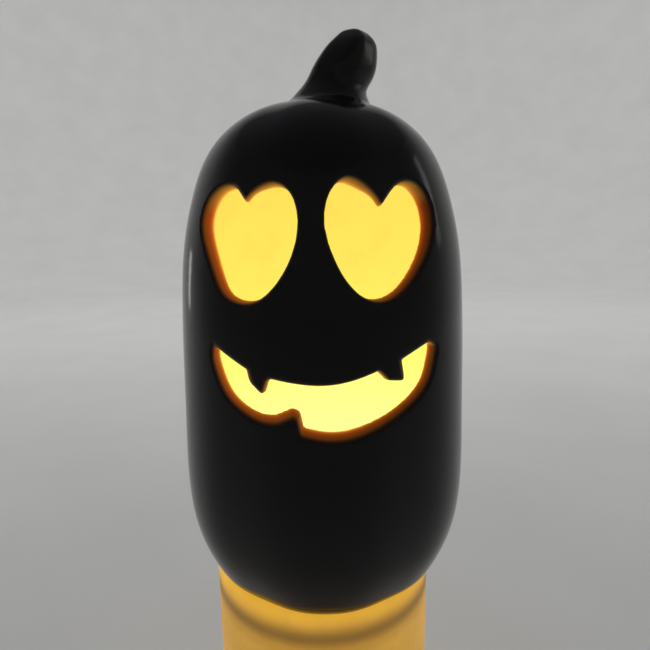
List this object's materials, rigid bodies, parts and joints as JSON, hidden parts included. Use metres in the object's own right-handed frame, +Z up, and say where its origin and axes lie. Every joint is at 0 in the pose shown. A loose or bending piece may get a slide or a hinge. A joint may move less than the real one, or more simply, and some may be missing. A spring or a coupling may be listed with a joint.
{
  "type": "ceramic pumpkin figure on pillar light",
  "caption": "Tall black-glazed ceramic jack-o'-lantern with heart eyes and a crooked toothed grin, standing on the rim of a flameless LED pillar light that glows through it.",
  "frame": {"origin": "on the resting surface, under the pumpkin's axis; the pillar light's own axis is 1.35 mm further left", "axes": "+Z up, the face looks along -Y, +X to the viewer's right; the stem leans to +X"},
  "size_m": [0.0932, 0.095, 0.2778],
  "materials": {
    "black_glaze": "gloss",
    "stem_glaze": "gloss",
    "wax": "satin",
    "housing_plastic": "matte",
    "deck_plastic": "matte",
    "base_plastic": "matte",
    "door_plastic": "matte",
    "flame_plastic": "satin",
    "led_lens": "gloss",
    "board_laminate": "satin",
    "chip_black": "matte",
    "capacitor_can": "satin",
    "cell_jacket": "gloss",
    "contact_metal": "satin",
    "screw_steel": "satin",
    "foot_rubber": "matte",
    "switch_plastic": "matte",
    "knob_plastic": "satin",
    "wire_red": "satin",
    "wire_black": "satin"
  },
  "bodies": {
    "light_base": {"wax_pillar": "wax", "base_plate": "base_plastic", "inner_housing": "housing_plastic", "deck": "deck_plastic", "flame_tip": "flame_plastic", "flame_led": "led_lens", "circuit_board": "board_laminate", "glow_leds": "led_lens", "timer_chip": "chip_black", "capacitor": "capacitor_can", "battery_box": "housing_plastic", "battery_1": "cell_jacket", "battery_2": "cell_jacket", "battery_3": "cell_jacket", "contact_plates": "contact_metal", "contact_springs": "contact_metal", "base_screws": "screw_steel", "rubber_feet": "foot_rubber", "switch_body": "switch_plastic", "lead_red": "wire_red", "lead_black": "wire_black"},
    "pumpkin": {"pumpkin_shell": "black_glaze", "stem": "stem_glaze"},
    "battery_door": {"battery_door": "door_plastic", "door_contact": "contact_metal"},
    "switch_knob": {"switch_knob": "knob_plastic"}
  },
  "joints": [
    {"name": "pumpkin_lift", "type": "slide", "parent": "light_base", "child": "pumpkin", "axis": [0, 0, 1], "range_m": [0, 0.045]},
    {"name": "battery_door_drop", "type": "slide", "parent": "light_base", "child": "battery_door", "axis": [0, 0, -1], "range_m": [0, 0.02]},
    {"name": "switch_slide", "type": "slide", "parent": "light_base", "child": "switch_knob", "axis": [1, 0, 0], "range_m": [0, 0.004]}
  ]
}
